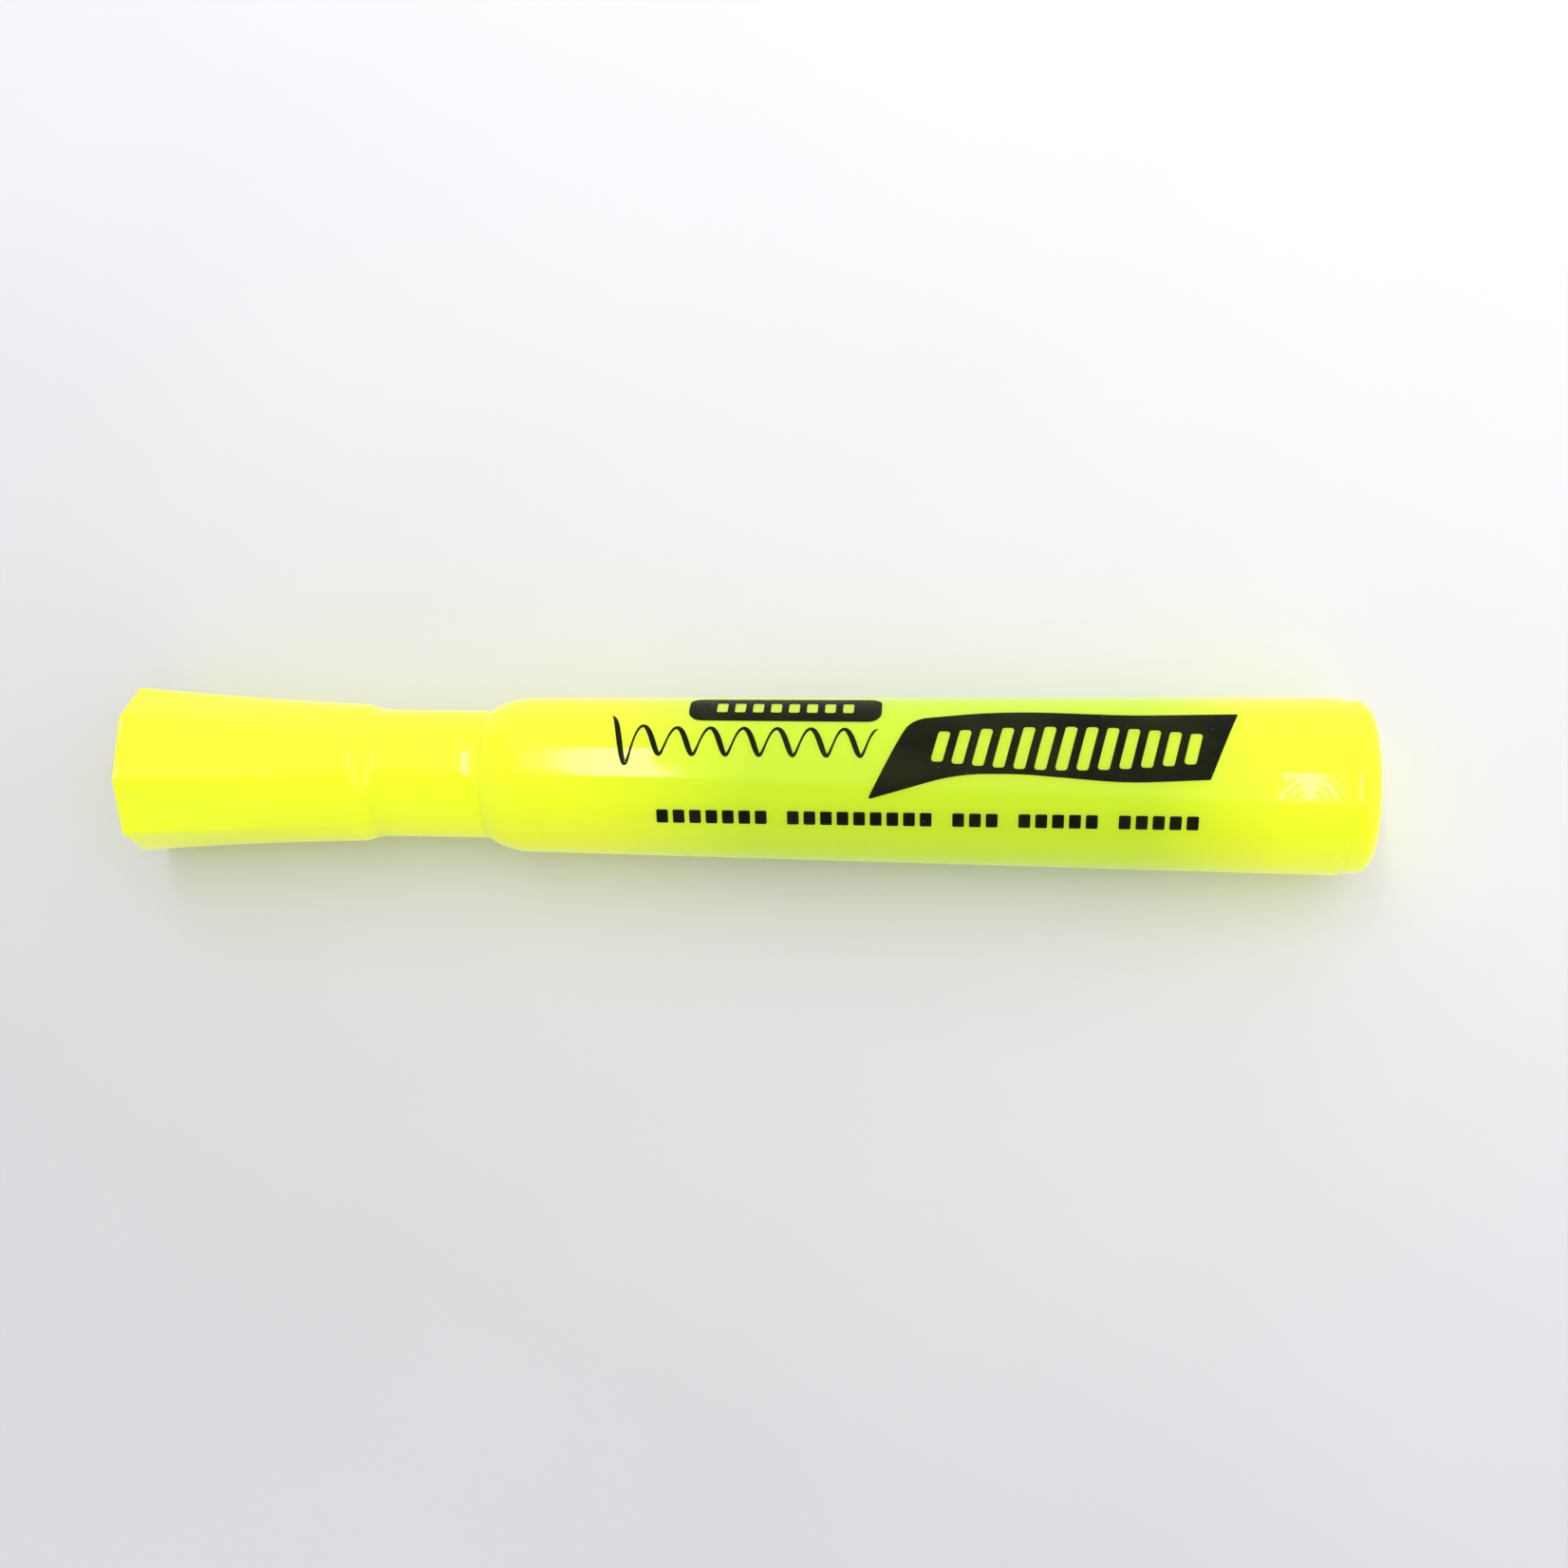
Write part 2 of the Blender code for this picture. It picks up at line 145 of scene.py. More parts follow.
def dome(centre, radius, start, end, steps=20):
    """(station, radius) points on a shoulder, for angles in degrees from the radial direction."""
    turns = [math.radians(mix(start, end, i / steps)) for i in range(steps + 1)]
    return [(centre - radius * math.sin(a), radius * math.cos(a)) for a in turns]


def finish_mesh(name, shape):
    """A smooth-shaded object from a bmesh, with its faces pointing out."""
    bmesh.ops.remove_doubles(shape, verts=shape.verts, dist=SAME_POINT)
    bmesh.ops.recalc_face_normals(shape, faces=shape.faces)
    mesh = bpy.data.meshes.new(name)
    shape.to_mesh(mesh)
    shape.free()
    mesh.shade_smooth()
    mesh.set_sharp_from_angle(angle=SHARP_ANGLE)
    made = bpy.data.objects.new(name, mesh)
    bpy.context.scene.collection.objects.link(made)
    weights = made.modifiers.new("even_shading", "WEIGHTED_NORMAL")
    weights.keep_sharp = True
    return made


def lathe(name, profile, **settings):
    """A turned piece from (station, radius) points, with lathe_shape's settings."""
    return finish_mesh(name, lathe_shape(profile, **settings))


def lathe_shape(profile, closed=False, steps=AROUND, shape_radius=None):
    """A turned shape from (station, radius) points, which end on the axis or close into a ring.

    shape_radius(index, station, radius, angle) can bend a ring out of round.
    """
    shape = bmesh.new()
    rings = []
    for index, (station, radius) in enumerate(profile):
        if radius < SAME_POINT:
            rings.append([shape.verts.new(at(station, 0.0, 0.0))])
            continue
        ring = []
        for step in range(steps):
            angle = 2 * math.pi * step / steps
            local = shape_radius(index, station, radius, angle) if shape_radius else radius
            ring.append(shape.verts.new(at(station, local, angle)))
        rings.append(ring)
    pairs = list(zip(rings, rings[1:]))
    if closed:
        pairs.append((rings[-1], rings[0]))
    for first, second in pairs:
        bridge(shape, first, second, steps)
    return shape


def bridge(shape, first, second, steps):
    """Faces between two rings, either of which may be a single point on the axis."""
    for step in range(steps):
        after = (step + 1) % steps
        corners = [first[step % len(first)], first[after % len(first)]]
        corners += [second[after % len(second)], second[step % len(second)]]
        unique = list(dict.fromkeys(corners))
        if len(unique) > 2:
            shape.faces.new(unique)


# ---- Node helpers
class Nodes:
    """Short calls for building a material's node tree."""

    def __init__(self, name):
        self.material = bpy.data.materials.new(name)
        self.material.use_nodes = True
        self.tree = self.material.node_tree
        self.shader = self.tree.nodes["Principled BSDF"]
        self.place = self.add("ShaderNodeTexCoord").outputs["Object"]

    def add(self, kind, **settings):
        node = self.tree.nodes.new(kind)
        for key, value in settings.items():
            setattr(node, key, value)
        return node

    def link(self, source, target):
        self.tree.links.new(source, target)

    def feed(self, source, target):
        """Links a socket to an input, or sets a fixed value on it."""
        if isinstance(source, bpy.types.NodeSocket):
            self.link(source, target)
        else:
            target.default_value = source

    def set(self, **values):
        """Sets inputs of the shader to fixed values, named with _ for each space."""
        for key, value in values.items():
            self.shader.inputs[key.replace("_", " ")].default_value = value

    def calculate(self, operation, *values):
        """A maths node on sockets and fixed numbers."""
        node = self.add("ShaderNodeMath", operation=operation)
        for value, target in zip(values, node.inputs):
            self.feed(value, target)
        return node.outputs["Value"]

    def stretched(self, scale):
        """The object's coordinates, in metres, multiplied along each axis."""
        mapping = self.add("ShaderNodeMapping")
        mapping.inputs["Scale"].default_value = scale
        self.link(self.place, mapping.inputs["Vector"])
        return mapping.outputs["Vector"]

    def noise(self, scale, detail=3.0, roughness=0.5):
        """Noise whose scale is a number per metre, or one for each axis."""
        node = self.add("ShaderNodeTexNoise")
        node.inputs["Detail"].default_value = detail
        node.inputs["Roughness"].default_value = roughness
        if isinstance(scale, tuple):
            node.inputs["Scale"].default_value = 1.0
            self.link(self.stretched(scale), node.inputs["Vector"])
        else:
            node.inputs["Scale"].default_value = scale
            self.link(self.place, node.inputs["Vector"])
        return node.outputs["Fac"]

    def ramp(self, factor, stops):
        """A colour ramp from (position, colour or value) stops."""
        node = self.add("ShaderNodeValToRGB")
        elements = node.color_ramp.elements
        while len(elements) < len(stops):
            elements.new(0.5)
        for element, (position, value) in zip(elements, stops):
            element.position = position
            colour = value if isinstance(value, tuple) else (value, value, value)
            element.color = (*colour, 1.0)
        self.link(factor, node.inputs["Fac"])
        return node.outputs["Color"]

    def across(self, direction, low, high):
        """A value that goes from 0 to 1 between two distances along a direction."""
        reach = self.add("ShaderNodeVectorMath", operation="DOT_PRODUCT")
        reach.inputs[1].default_value = Vector(direction).normalized()
        self.link(self.place, reach.inputs[0])
        span = self.add("ShaderNodeMapRange")
        span.inputs["From Min"].default_value = low
        span.inputs["From Max"].default_value = high
        self.link(reach.outputs["Value"], span.inputs["Value"])
        return span.outputs["Result"]

    def ridges(self, centre, pitch, reach):
        """Wavy rings round a point, from -1 to 1, that fade out within a distance of it."""
        warp_scale, warp_turn, fade_start = 220.0, 14.0, 0.6 * reach
        apart = self.add("ShaderNodeVectorMath", operation="DISTANCE")
        apart.inputs[1].default_value = centre
        self.link(self.place, apart.inputs[0])
        distance = apart.outputs["Value"]
        warp = self.calculate("MULTIPLY", self.noise(warp_scale, detail=0.0), warp_turn)
        phase = self.calculate("MULTIPLY_ADD", distance, 2 * math.pi / pitch, warp)
        fade = self.add("ShaderNodeMapRange", interpolation_type="SMOOTHSTEP")
        fade.inputs["From Min"].default_value = reach
        fade.inputs["From Max"].default_value = fade_start
        self.link(distance, fade.inputs["Value"])
        return self.calculate("MULTIPLY", self.calculate("SINE", phase), fade.outputs["Result"])

    def blend(self, factor, first, second, mode="MIX"):
        """Mixes two colours, each a socket or a fixed colour."""
        node = self.add("ShaderNodeMix", data_type="RGBA", blend_type=mode)
        self.feed(factor, node.inputs[0])
        self.feed(first, node.inputs[6])
        self.feed(second, node.inputs[7])
        return node.outputs[2]

    def bump(self, *layers):
        """Bumps, each (height, strength, distance), one over the other."""
        last = None
        for height, strength, distance in layers:
            node = self.add("ShaderNodeBump")
            node.inputs["Strength"].default_value = strength
            node.inputs["Distance"].default_value = distance
            self.link(height, node.inputs["Height"])
            if last is not None:
                self.link(last, node.inputs["Normal"])
            last = node.outputs["Normal"]
        self.link(last, self.shader.inputs["Normal"])


# ---- Materials
# Painted glow: the plastic gives off light of its own, which also lifts its shaded underside and the
# table near it.
PAINTED_GLOW = (0.85, 1.0, 0.02, 1.0)
PAINTED_GLOW_STRENGTH = 0.15  # painted glow in place of fluorescence; it shines without light and lifts the shaded underside
FINGER_MARK = (114.8 * MM, math.radians(-25))  # station and angle of a faint mark near the plug


def fluorescent_plastic(name, bright, deep, filling_and_shade=None):
    """Glossy translucent moulded plastic.

    The filling is (colour, four stations): partly the reservoir showing through the wall, partly
    painted shade for the shadow cast on the pen's middle from above.
    Its colour fades in between the first two stations and out between the last two.
    """
    n = Nodes(name)
    colour = n.ramp(n.noise(90.0, detail=2.0), [(0.3, bright), (0.75, deep)])
    orange_peel = n.noise(900.0, detail=1.0)
    drawn_lines = n.noise((90.0, 2600.0, 2600.0), detail=2.0)
    layers = [(orange_peel, 0.02, 0.15 * MM), (drawn_lines, 0.03, 0.05 * MM)]
    if filling_and_shade:
        shade, (start, full, fade, end) = filling_and_shade
        along = n.across((1, 0, 0), ORIGIN_X + start, ORIGIN_X + end)
        rise, fall = ((station - start) / (end - start) for station in (full, fade))
        empty = n.ramp(along, [(0.0, 0.0), (rise, 1.0), (fall, 1.0), (1.0, 0.0)])
        # Reservoir under the wall plus painted shade: the barrel's middle is coloured darker and
        # greener
        colour = n.blend(empty, colour, (*shade, 1.0))
        station, angle = FINGER_MARK
        mark = n.ridges(at(station, REAR_RADIUS, angle), pitch=0.75 * MM, reach=3.6 * MM)
        layers.append((mark, 1.0, 0.0016 * MM))
    n.link(colour, n.shader.inputs["Base Color"])
    smears = n.noise((60.0, 260.0, 260.0), detail=4.0, roughness=0.6)
    n.link(n.ramp(smears, [(0.35, 0.03), (0.7, 0.09)]), n.shader.inputs["Roughness"])
    n.bump(*layers)
    n.set(IOR=1.48, Specular_Tint=(1.0, 1.0, 0.7, 1.0))
    n.set(Subsurface_Weight=0.6, Subsurface_Radius=(1.0, 1.0, 0.3), Subsurface_Scale=3.0 * MM)
    # Painted glow, in place of fluorescence.
    n.set(Emission_Color=PAINTED_GLOW, Emission_Strength=PAINTED_GLOW_STRENGTH)
    return n.material


def printed_ink(name):
    """Satin black print with a few tiny worn specks where the plastic shows through."""
    black, greenish_black, worn = (0.005, 0.007, 0.0015), (0.016, 0.020, 0.004), (0.22, 0.26, 0.05)
    n = Nodes(name)
    patches = n.ramp(n.noise(160.0, detail=3.0), [(0.4, black), (0.75, greenish_black)])
    specks = n.ramp(n.noise(3800.0, detail=2.0), [(0.74, 0.0), (0.78, 1.0)])
    n.link(n.blend(specks, patches, (*worn, 1.0)), n.shader.inputs["Base Color"])
    n.link(n.ramp(n.noise(1200.0), [(0.3, 0.3), (0.7, 0.45)]), n.shader.inputs["Roughness"])
    n.bump((n.noise(4000.0), 0.15, 0.03 * MM))
    n.set(Specular_IOR_Level=0.06)
    return n.material


def white_plastic(name):
    """Natural white moulded plastic, satin and slightly translucent."""
    shade, white = (0.80, 0.82, 0.78), (0.87, 0.88, 0.85)
    n = Nodes(name)
    n.link(n.ramp(n.noise(150.0), [(0.3, shade), (0.7, white)]), n.shader.inputs["Base Color"])
    n.link(n.ramp(n.noise(400.0), [(0.3, 0.3), (0.7, 0.45)]), n.shader.inputs["Roughness"])
    n.bump((n.noise(1500.0), 0.08, 0.1 * MM))
    n.set(Subsurface_Weight=0.3, Subsurface_Scale=2.0 * MM)
    return n.material


def felt(name, colour, dark):
    """Bonded fibres that run along the pen, soaked in ink."""
    n = Nodes(name)
    fibres = n.noise((500.0, 6000.0, 6000.0), detail=4.0, roughness=0.7)
    n.link(n.ramp(fibres, [(0.3, dark), (0.65, colour)]), n.shader.inputs["Base Color"])
    n.link(n.ramp(fibres, [(0.3, 0.95), (0.7, 0.7)]), n.shader.inputs["Roughness"])
    n.bump((fibres, 0.6, 0.2 * MM))
    return n.material


def clear_film(name):
    """Thin wrapping film, tinted by the ink behind it."""
    tint, pale_tint = (0.88, 0.93, 0.6), (0.95, 0.98, 0.75)
    n = Nodes(name)
    n.link(n.ramp(n.noise(300.0), [(0.3, tint), (0.7, pale_tint)]), n.shader.inputs["Base Color"])
    n.link(n.ramp(n.noise(200.0), [(0.3, 0.08), (0.7, 0.2)]), n.shader.inputs["Roughness"])
    n.set(Alpha=0.5)
    return n.material


# ---- The barrel
DOME_TURN = math.acos(SHOULDER_RADIUS / FRONT_RADIUS)
DOME_END = SHOULDER_BASE + FRONT_RADIUS * math.sin(DOME_TURN)
LEDGE = 39.0 * MM
SPIGOT_BORE = 4.1 * MM
RIB_BORE = 6.15 * MM
RIB_COUNT = 6
RIB_THICKNESS = 0.8 * MM
BEAD = 30.5 * MM  # the ring on the spigot that the cap snaps over
BEAD_REACH = 0.7 * MM  # from its top to its foot, along the pen


def barrel_radius(station):
    """The tapered outside, between the dome and the rear edge."""
    return mix(FRONT_RADIUS, REAR_RADIUS, (station - DOME_END) / (BARREL_REAR - DOME_END))


def barrel_profile():
    """The closed section of the barrel's wall, from the spigot's mouth round to its bore."""
    spigot = [
        (SPIGOT_FRONT, SPIGOT_BORE, 0.1 * MM),
        (SPIGOT_FRONT, SPIGOT_RADIUS, 0.3 * MM),
        (BEAD - BEAD_REACH, SPIGOT_RADIUS, 0.4 * MM),
        (BEAD, SPIGOT_RADIUS + 0.22 * MM, 0.6 * MM),
        (BEAD + BEAD_REACH, SPIGOT_RADIUS, 0.4 * MM),
        (SHOULDER_BASE, SPIGOT_RADIUS, 0.1 * MM),
        (SHOULDER_BASE, SHOULDER_RADIUS - 0.05 * MM, 0.0),
    ]
    shoulder = dome(DOME_END, FRONT_RADIUS, math.degrees(DOME_TURN), 0)
    rings = 24
    stations = [mix(DOME_END, BARREL_REAR, i / rings) for i in range(1, rings)]
    straight = [(station, barrel_radius(station)) for station in stations]
    near_rear = mix(DOME_END, BARREL_REAR, 0.97)
    rear = [
        (near_rear, barrel_radius(near_rear), 0.0),
        (BARREL_REAR, REAR_RADIUS, 0.1 * MM),
        (BARREL_REAR, REAR_RADIUS - WALL, 0.1 * MM),
        (LEDGE, FRONT_RADIUS - WALL, 0.1 * MM),
        (LEDGE, SPIGOT_BORE, 0.1 * MM),
        (SPIGOT_FRONT, SPIGOT_BORE, 0.0),
    ]
    return filleted(spigot) + shoulder + straight + filleted(rear)[1:-1]


def add_block(shape, low, high, angle):
    """A plain bar inside a turned piece, at an angle about the axis.

    Its low and high corners are (station, distance across, distance from the axis).
    """
    made = bmesh.ops.create_cube(shape, size=1.0)["verts"]
    for vert in made:
        x, y, z = (low[k] if vert.co[k] < 0 else high[k] for k in range(3))
        vert.co = at(x, math.hypot(y, z), angle + math.atan2(y, z))


def make_barrel():
    """The barrel's wall with the long ribs that centre the reservoir."""
    shape = lathe_shape(barrel_profile(), closed=True)
    for k in range(RIB_COUNT):
        low = (LEDGE - 0.3 * MM, -RIB_THICKNESS / 2, RIB_BORE)
        high = (BARREL_REAR - 8.0 * MM, RIB_THICKNESS / 2, FRONT_RADIUS - WALL / 2)
        add_block(shape, low, high, math.pi / 2 + 2 * math.pi * k / RIB_COUNT)
    return finish_mesh("barrel_moulding", shape)


def make_plug():
    """The rear plug's head and hollow spigot, with the cross that holds the reservoir."""
    front = plug_low.x - ORIGIN_X
    head_front = BARREL_REAR + SEAM
    floor = PEN_END - 1.4 * MM
    spigot, wall, bead = 7.1 * MM, 0.9 * MM, BARREL_REAR - 2.2 * MM
    gate_radius, gate_depth = 1.1 * MM, 0.12 * MM
    profile = [
        (floor, 0.0, 0.0),
        (floor, spigot - wall, 0.3 * MM),
        (front, spigot - wall, 0.1 * MM),
        (front, spigot, 0.3 * MM),
        (bead - BEAD_REACH, spigot, 0.3 * MM),
        (bead, spigot + 0.2 * MM, 0.4 * MM),
        (bead + BEAD_REACH, spigot, 0.3 * MM),
        (head_front, spigot, 0.0),
        (head_front, PLUG_RADIUS, 0.08 * MM),
        (PEN_END, PLUG_RADIUS, 1.4 * MM),
        (PEN_END, gate_radius + 0.2 * MM, 0.1 * MM),
        (PEN_END - gate_depth, gate_radius, 0.1 * MM),
        (PEN_END - gate_depth, 0.0, 0.0),
    ]
    shape = lathe_shape(filleted(profile))
    reach, thickness = spigot - 0.5 * MM, 1.0 * MM
    for k in range(2):
        low = (front + 0.4 * MM, -thickness / 2, -reach)
        high = (floor + 0.3 * MM, thickness / 2, reach)
        add_block(shape, low, high, k * math.pi / 2)
    return finish_mesh("rear_plug", shape)


# ---- The cap
def flats_bulge(angle):
    """How far the eight-sided end stands out past a circle that touches its flats, as a share.

    The inverse power mean is a smooth minimum of the eight planes, so the edges are rounded.
    """
    power = 70
    turns = [angle - CAP_TURN - 2 * math.pi * k / FLAT_COUNT for k in range(FLAT_COUNT)]
    planes = sum(max(0.0, math.cos(turn)) ** power for turn in turns)
    return planes ** (-1 / power) - 1


def flare_share(station):
    """How much of the flare a station has: 0 from the waist to the mouth, 1 at the far end."""
    share = max(0.0, 1 - station / WAIST)
    return mix(share * share, share, FLARE_STRAIGHTNESS)


CROWN_SEAT = 1.6 * MM
CROWN_BORE = 6.46 * MM  # radius of the recess that the end disc sits in
CAP_BORE = 5.45 * MM


def cap_outside():
    """(station, radius) of the cap's outside at a flat's middle, from the mouth to the far end."""
    neck_end = CAP_MOUTH - 2 * MM
    mouth = filleted(
        [
            (CAP_MOUTH, CAP_BORE, 0.0),
            (CAP_MOUTH, NECK_RADIUS, 0.15 * MM),
            (neck_end, NECK_RADIUS, 0.0),
        ]
    )[1:]
    neck = [(CAP_MOUTH - k * MM, NECK_RADIUS) for k in (4, 6, 8, 9)]
    step_count = 14
    step = [
        (
            mix(NECK_FRONT, WAIST, i / step_count),
            mix(NECK_RADIUS, WAIST_RADIUS, smooth_step(0, step_count, i)),
        )
        for i in range(step_count + 1)
    ]
    flare_count = 60
    stations = [mix(WAIST, 0.0, i / flare_count) for i in range(1, flare_count)]
    flare = [(x, mix(WAIST_RADIUS, CAP_APOTHEM, flare_share(x))) for x in stations]
    return mouth + neck + step + flare


def make_cap():
    """The cap's shell: round at its mouth and eight-sided at its far end."""
    outside = cap_outside()
    rim = filleted(
        [
            (1.0 * MM, CAP_APOTHEM, 0.0),
            (0.0, CAP_APOTHEM, 0.25 * MM),
            (0.0, CROWN_BORE, 0.15 * MM),
            (CROWN_SEAT, CROWN_BORE, 0.0),
        ]
    )[1:]
    stop = 22.6 * MM  # a ledge in the waist that holds the sealing cup
    inside = filleted(
        [
            (CROWN_SEAT, CROWN_BORE, 0.0),
            (stop, 5.24 * MM, 0.1 * MM),
            (stop, 4.5 * MM, 0.1 * MM),
            (stop + 1.0 * MM, 4.5 * MM, 0.2 * MM),
            (stop + 1.35 * MM, CAP_BORE, 0.2 * MM),
            (BEAD - BEAD_REACH, CAP_BORE, 0.3 * MM),
            (BEAD, CAP_BORE + 0.2 * MM, 0.4 * MM),
            (BEAD + BEAD_REACH, CAP_BORE, 0.3 * MM),
            (CAP_MOUTH - 0.4 * MM, CAP_BORE, 0.2 * MM),
            (CAP_MOUTH, CAP_BORE + 0.3 * MM, 0.0),
        ]
    )[1:]
    rim_outer_count = CORNER_STEPS + 1
    outer_count = len(outside) + rim_outer_count

    def shape_radius(index, station, radius, angle):
        if index >= outer_count:
            return radius
        return radius + CAP_APOTHEM * flats_bulge(angle) * flare_share(station)

    profile = outside + rim + inside
    return lathe("cap_moulding", profile, closed=True, steps=256, shape_radius=shape_radius)


def make_crown():
    """The disc that closes the cap's far end, with a hollow post that backs the sealing cup."""
    face = crown_low.x - ORIGIN_X
    post_end = crown_high.x - ORIGIN_X
    radius = half_width((crown_low, crown_high)) + 0.2 * MM
    post_bore, post = 1.7 * MM, 2.6 * MM
    dish_depth, gate_height = 0.3 * MM, 0.15 * MM
    profile = [
        (CROWN_SEAT, 0.0, 0.0),
        (CROWN_SEAT, post_bore, 0.1 * MM),
        (post_end, post_bore, 0.1 * MM),
        (post_end, post, 0.2 * MM),
        (CROWN_SEAT, post, 0.2 * MM),
        (CROWN_SEAT, radius, 0.1 * MM),
        (face, radius, 0.35 * MM),
        (face, 4.2 * MM, 0.3 * MM),
        (face + dish_depth, 3.9 * MM, 0.3 * MM),
        (face + dish_depth, 0.9 * MM, 0.1 * MM),
        (face + dish_depth - gate_height, 0.7 * MM, 0.1 * MM),
        (face + dish_depth - gate_height, 0.0, 0.0),
    ]
    return lathe("cap_end_disc", filleted(profile), steps=128)


def make_sealing_cup():
    """The inner cap that closes over the nib, with a thicker band at its mouth."""
    closed, mouth = cup_low.x - ORIGIN_X, cup_high.x - ORIGIN_X
    band = half_width((cup_low, cup_high))
    bore = band - 0.7 * MM
    outer = band - 0.1 * MM
    floor = closed + 0.6 * MM
    profile = [
        (floor, 0.0, 0.0),
        (floor, bore, 0.7 * MM),
        (mouth, bore, 0.2 * MM),
        (mouth, band, 0.2 * MM),
        (mouth - 1.2 * MM, band, 0.1 * MM),
        (mouth - 1.5 * MM, outer, 0.1 * MM),
        (closed, outer, 1.2 * MM),
        (closed, 0.0, 0.0),
    ]
    return lathe("sealing_cup", filleted(profile), steps=128)


# ---- The nib and its holder
NIB_WIDTH = 5.0 * MM
NIB_THICKNESS = 3.4 * MM
NIB_SLANT = math.radians(38)
NIB_CHEEK = math.radians(16)


def stadium_radius(angle, width, thickness):
    """Distance from the axis to a strip with round edges, whose width stands upright."""
    half, round_end = (width - thickness) / 2, thickness / 2
    across, upright = abs(math.sin(angle)), abs(math.cos(angle))
    if across * half >= upright * round_end:
        return round_end / across
    return half * upright + math.sqrt(max(0.0, round_end**2 - (half * across) ** 2))


def make_nib_holder():
    """Front section with a stop flange, a sealing land, a snout, the nib's slot and air grooves."""
    front, rear = holder_low.x - ORIGIN_X, holder_high.x - ORIGIN_X
    flange_rear = SPIGOT_FRONT - SEAM
    flange_front = flange_rear - 0.8 * MM
    stem, flange, land = 3.85 * MM, 5.0 * MM, 4.05 * MM
    groove_depth, groove_count, groove_half_angle = 0.35 * MM, 4, 0.08
    outside = filleted(
        [
            (rear, 3.2 * MM, 0.0),
            (rear, stem, 0.35 * MM),
            (flange_rear, stem, 0.1 * MM),
            (flange_rear, flange, 0.15 * MM),
            (flange_front, flange, 0.25 * MM),
            (flange_front, land + 0.15 * MM, 0.2 * MM),
            (23.5 * MM, land, 0.3 * MM),
            (20.8 * MM, land, 0.6 * MM),
            (front, 3.55 * MM, 0.4 * MM),
            (front, 2.9 * MM, 0.0),
        ]
    )
    play, lead_in = 0.3 * MM, 0.15 * MM
    slot_width, slot_thickness = NIB_WIDTH + play, NIB_THICKNESS + play
    slot = [(front, -lead_in), (front + lead_in, 0.0), (rear, 0.0)]

    def shape_radius(index, station, radius, angle):
        """Rounds the slot's rings to the nib's section and cuts the air grooves in the stem."""
        if index >= len(outside):
            return stadium_radius(angle, slot_width, slot_thickness) - radius
        is_stem = 0 < index <= 2 * CORNER_STEPS and radius <= stem * 1.001
        from_groove = abs(math.remainder(angle - math.pi / 4, 2 * math.pi / groove_count))
        return radius - groove_depth if is_stem and from_groove < groove_half_angle else radius

    profile = outside + slot
    return lathe("front_section", profile, closed=True, steps=160, shape_radius=shape_radius)


def make_nib():
    """Chisel nib: a felt bar with soft edges, whose slanted and shaved tip is longest at the top."""
    tip, rear = nib_low.x - ORIGIN_X, nib_high.x - ORIGIN_X
    steps, softness = 96, 0.3 * MM
    angles = [2 * math.pi * step / steps for step in range(steps)]
    shape = bmesh.new()

    def ring(back, inset):
        """A section parallel to the tip's slant, some way behind it, drawn in by the inset."""
        made = []
        for angle in angles:
            radius = max(0.1 * MM, stadium_radius(angle, NIB_WIDTH, NIB_THICKNESS) - inset)
            upright, across = radius * math.cos(angle), radius * math.sin(angle)
            station = tip + (NIB_WIDTH / 2 - upright) * math.tan(NIB_SLANT) + back
            cheek = NIB_THICKNESS / 4 + (station - tip) * math.tan(NIB_CHEEK) - inset / 2
            across = math.copysign(min(abs(across), cheek), across)
            place = at(station, math.hypot(across, upright), math.atan2(across, upright))
            made.append(shape.verts.new(place))
        return made

    rings = [ring(0.0, inset) for inset in (1.1 * MM, 0.6 * MM, softness)]
    for back in (0.1 * MM, 0.3 * MM, 0.6 * MM, 1.0 * MM, 2.0 * MM, 3.5 * MM, 5.0 * MM, 8.0 * MM):
        rings.append(ring(back, softness * (1 - min(1.0, back / softness)) ** 2))
    section = [stadium_radius(angle, NIB_WIDTH, NIB_THICKNESS) for angle in angles]
    rings.append([shape.verts.new(at(rear, r, angle)) for r, angle in zip(section, angles)])
    for first, second in zip(rings, rings[1:]):
        bridge(shape, first, second, steps)
    shape.faces.new(rings[0])
    shape.faces.new(rings[-1])
    return finish_mesh("felt_nib", shape)


# ---- The print
PRINT_HEIGHT = 0.012 * MM
PRINT_DEPTH = 0.02 * MM  # how far it is sunk in the wall, so that no gap shows under it
STRIP_ANGLE = math.radians(1.5)


def capsule(middle, length, width, lean, corner):
    """A leaning bar with rounded corners, as a closed outline of (station, arc) points."""
    half = width / 2
    corners = [(-half, -length / 2), (half, -length / 2), (half, length / 2), (-half, length / 2)]
    slanted = [(middle[0] + x + y * math.tan(lean), middle[1] + y, corner) for x, y in corners]
    return filleted(slanted, closed=True)


def put_in_order(parts, place):
    """Sorts a bmesh's vertices or faces by their places. An extrusion leaves the order to chance."""
    for index, part in enumerate(sorted(parts, key=lambda part: tuple(place(part)))):
        part.index = index
    parts.sort()


